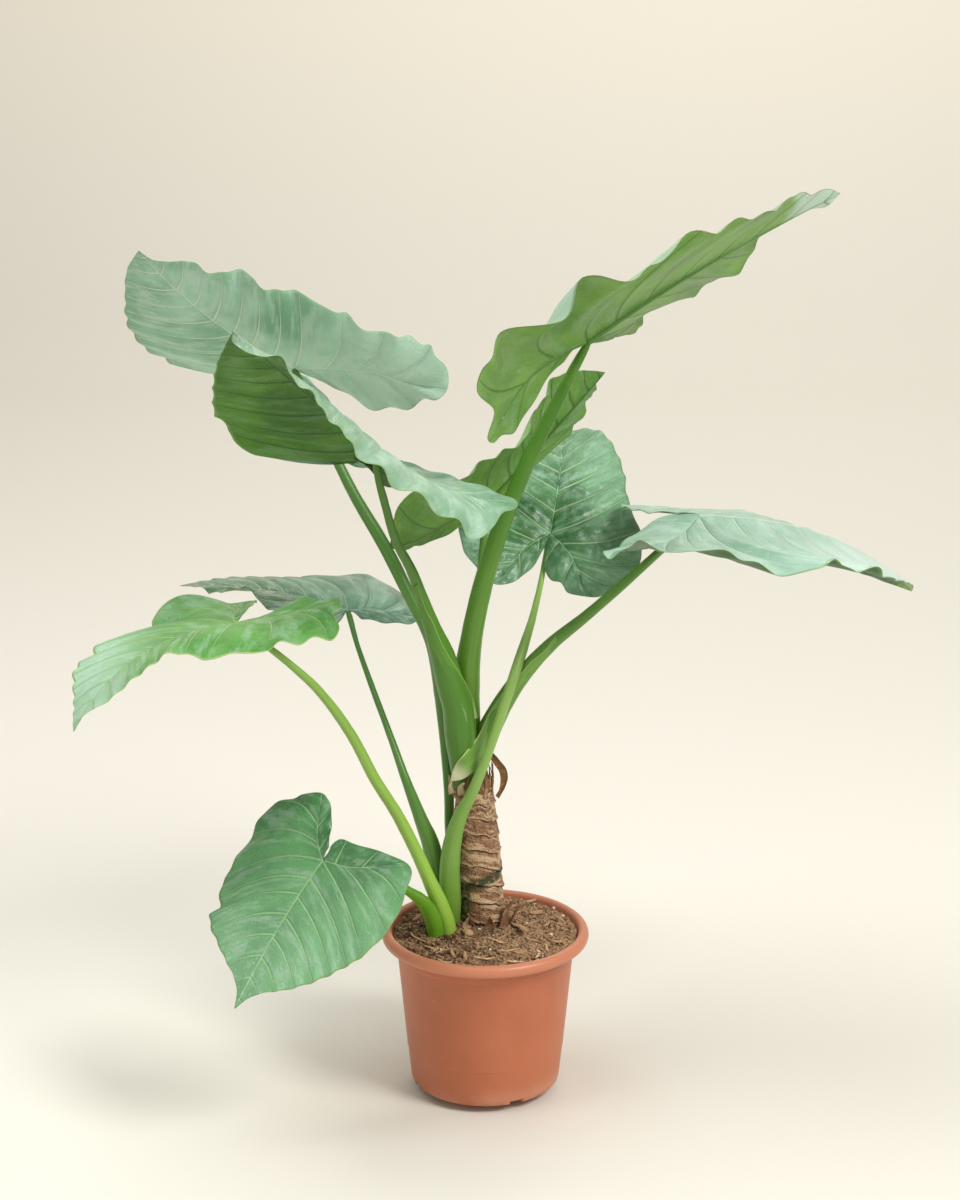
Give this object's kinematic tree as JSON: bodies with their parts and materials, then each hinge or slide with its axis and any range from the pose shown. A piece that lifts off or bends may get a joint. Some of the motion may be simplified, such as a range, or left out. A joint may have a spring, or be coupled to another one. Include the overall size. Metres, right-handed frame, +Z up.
{
  "type": "potted alocasia",
  "caption": "Potted alocasia: large waved heart-shaped leaves on long stalks from a short scarred trunk and a young shoot, in a round plastic nursery pot filled with soil.",
  "frame": {"origin": "centre of the pot's underside, on the floor", "axes": "+Z up through the pot, -Y towards the side that is seen, +X to the right of that view"},
  "size_m": [0.9349, 0.5541, 1.0378],
  "materials": {
    "pot": "matt terracotta-coloured plastic with a faint sheen",
    "soil": "dark crumbly potting soil with bark chips",
    "trunk": "brown scarred bark",
    "dry_sheath": "dry brown leaf tissue",
    "stalk": "smooth fleshy green stem",
    "blade_pale": "waxy blue-green upper face, soft sheen",
    "blade_glossy": "dark puckered green upper face, glossy",
    "blade_fresh": "fresh bright green upper face, soft sheen"
  },
  "bodies": {
    "root": {"pot": "pot", "soil": "soil", "trunk": "trunk", "dry_sheath": "dry_sheath", "stalk_top_left": "stalk", "blade_top_left": "blade_pale", "stalk_curled_left": "stalk", "blade_curled_left": "blade_pale", "stalk_top_right": "stalk", "blade_top_right": "blade_pale", "stalk_back": "stalk", "blade_back": "blade_pale", "stalk_center": "stalk", "blade_center": "blade_glossy", "stalk_right": "stalk", "blade_right": "blade_pale", "stalk_left_front": "stalk", "blade_left_front": "blade_fresh", "stalk_left_back": "stalk", "blade_left_back": "blade_glossy", "stalk_low_front": "stalk", "blade_low_front": "blade_fresh"}
  },
  "joints": []
}
